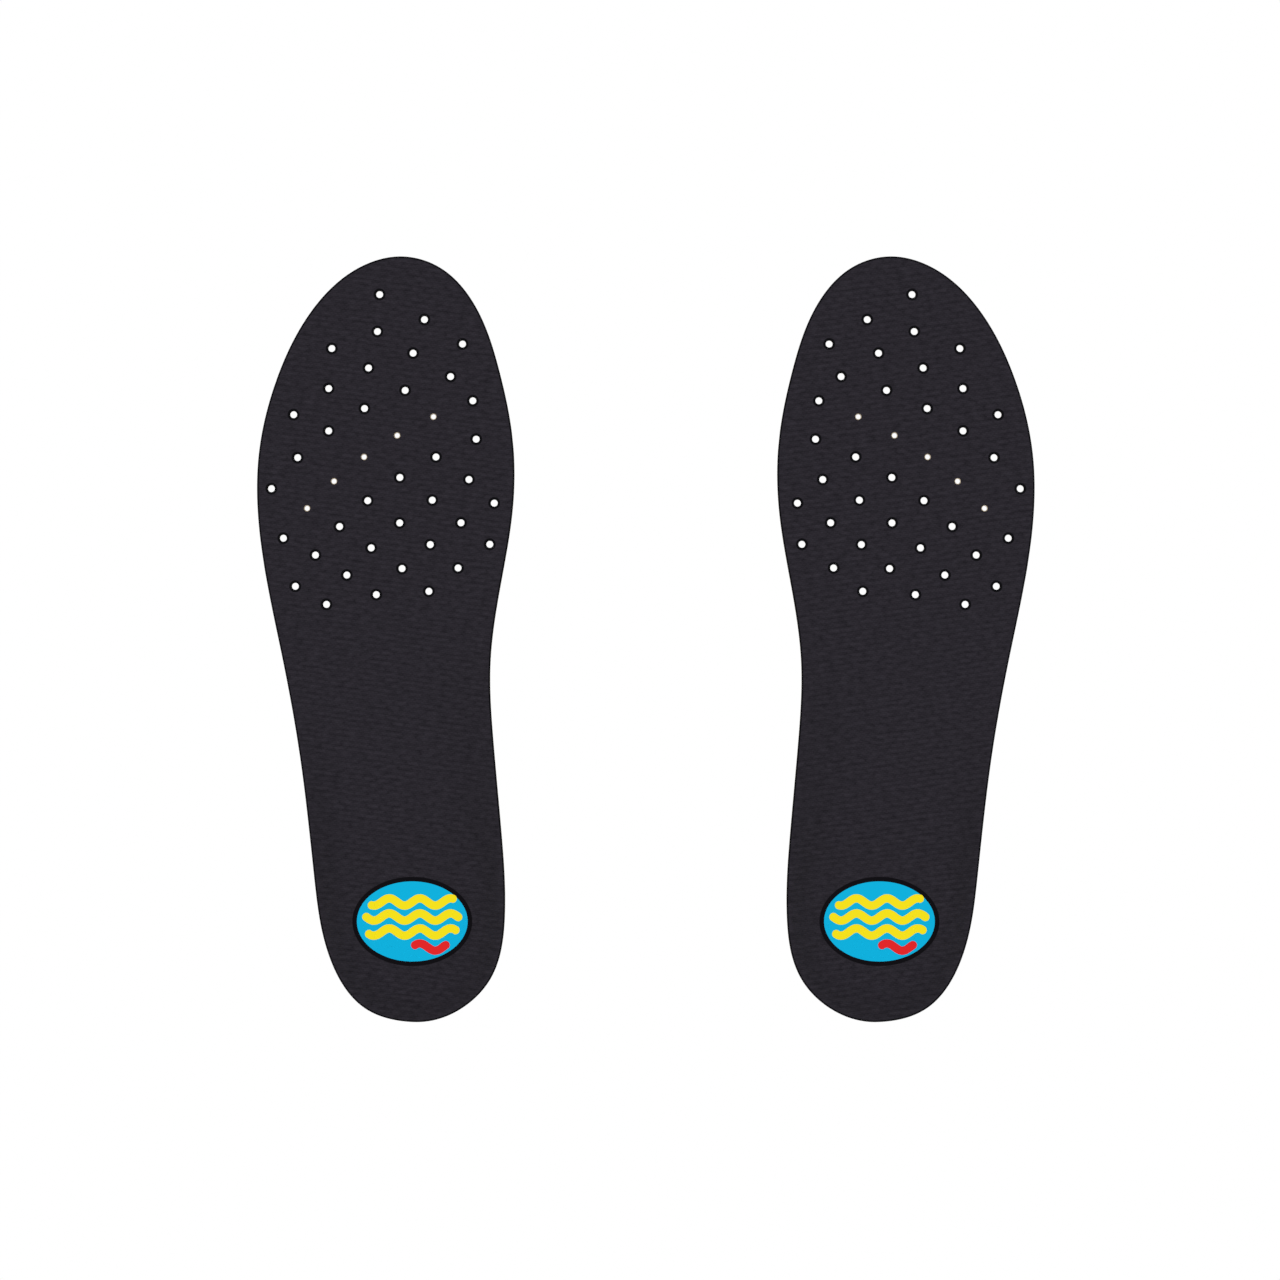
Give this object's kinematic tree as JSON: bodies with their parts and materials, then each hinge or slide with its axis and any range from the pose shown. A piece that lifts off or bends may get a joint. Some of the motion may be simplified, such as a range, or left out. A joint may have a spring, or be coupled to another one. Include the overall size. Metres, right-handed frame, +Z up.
{
  "type": "cushioned insole pair",
  "caption": "Pair of contoured shoe insoles with heel cups, gel cushion pads, ventilation holes and a smooth knitted cover; each flexes at the ball.",
  "frame": {"origin": "middle of the pair, on the surface that both insoles lie on", "axes": "+X to the right across the pair, +Y towards the toes, +Z up through the covers"},
  "size_m": [0.2794, 0.275, 0.0188],
  "materials": {
    "cover_cloth": "matt fine knit, charcoal",
    "cushion_foam": "matt open foam, cream",
    "base_foam": "matt moulded foam, dark grey",
    "gel": "soft satin gel, blue",
    "arch_support": "matt firm foam, slate blue",
    "print_black": "satin transfer film",
    "print_cyan": "satin transfer film",
    "print_yellow": "satin transfer film",
    "print_red": "satin transfer film"
  },
  "bodies": {
    "left_rearfoot": {"left_top_cover_rearfoot": "cover_cloth", "left_cushion_foam_rearfoot": "cushion_foam", "left_base_rearfoot": "base_foam", "left_heel_gel": "gel", "left_arch_support": "arch_support", "left_heel_print_backing": "print_black", "left_heel_print_field": "print_cyan", "left_heel_print_waves": "print_yellow", "left_heel_print_accent": "print_red"},
    "left_forefoot": {"left_top_cover_forefoot": "cover_cloth", "left_cushion_foam_forefoot": "cushion_foam", "left_base_forefoot": "base_foam", "left_forefoot_gel": "gel"},
    "right_rearfoot": {"right_top_cover_rearfoot": "cover_cloth", "right_cushion_foam_rearfoot": "cushion_foam", "right_base_rearfoot": "base_foam", "right_heel_gel": "gel", "right_arch_support": "arch_support", "right_heel_print_backing": "print_black", "right_heel_print_field": "print_cyan", "right_heel_print_waves": "print_yellow", "right_heel_print_accent": "print_red"},
    "right_forefoot": {"right_top_cover_forefoot": "cover_cloth", "right_cushion_foam_forefoot": "cushion_foam", "right_base_forefoot": "base_foam", "right_forefoot_gel": "gel"}
  },
  "joints": [
    {"name": "left_flex", "type": "hinge", "parent": "left_rearfoot", "child": "left_forefoot", "pos_m": [-0.0935, 0.0505, 0.0057], "axis": [0.9063, 0.4226, 0], "range_deg": [0, 50], "stiffness_Nm_per_rad": 0.07},
    {"name": "right_flex", "type": "hinge", "parent": "right_rearfoot", "child": "right_forefoot", "pos_m": [0.0935, 0.0505, 0.0057], "axis": [0.9063, -0.4226, 0], "range_deg": [0, 50], "stiffness_Nm_per_rad": 0.07},
    {"name": "right_insole_slide", "type": "slide", "parent": "left_rearfoot", "child": "right_rearfoot", "axis": [1, 0, 0], "range_m": [-0.085, 0.15]}
  ]
}
